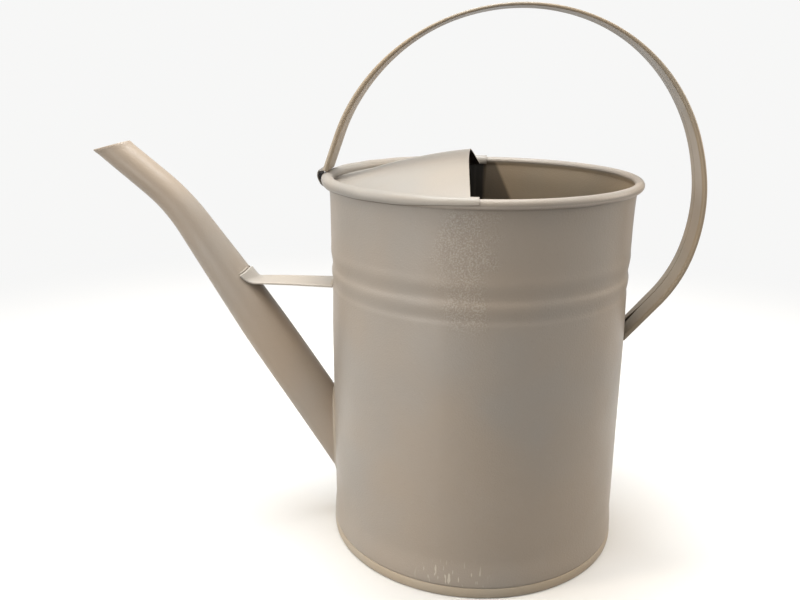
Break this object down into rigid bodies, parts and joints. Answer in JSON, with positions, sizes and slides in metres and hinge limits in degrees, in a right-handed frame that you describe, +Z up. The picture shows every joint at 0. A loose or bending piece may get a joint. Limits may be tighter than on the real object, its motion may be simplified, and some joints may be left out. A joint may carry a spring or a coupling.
{
  "type": "watering can",
  "caption": "Sheet-metal watering can: round body with rolled rim and two grooves, half cover, long bent spout with a flat brace, and a hoop handle over the top.",
  "frame": {"origin": "centre of the overall box in plan, on the ground under the base hem", "axes": "+Z up, +X from the spout's lip towards the handle's back, +Y across the can, which is its narrowest way"},
  "size_m": [0.3086, 0.1596, 0.2729],
  "materials": {
    "body_paint": "satin greige powder coat with a fine orange-peel texture"
  },
  "bodies": {
    "root": {"body_wall": "body_paint", "base_pan": "body_paint", "half_cover": "body_paint", "spout_tube": "body_paint", "spout_root_solder": "body_paint", "spout_brace": "body_paint", "brace_ear_solder_front": "body_paint", "brace_ear_solder_rear": "body_paint", "brace_wall_solder": "body_paint", "handle_hoop": "body_paint", "handle_rim_solder": "body_paint", "handle_foot_solder": "body_paint"}
  },
  "joints": []
}
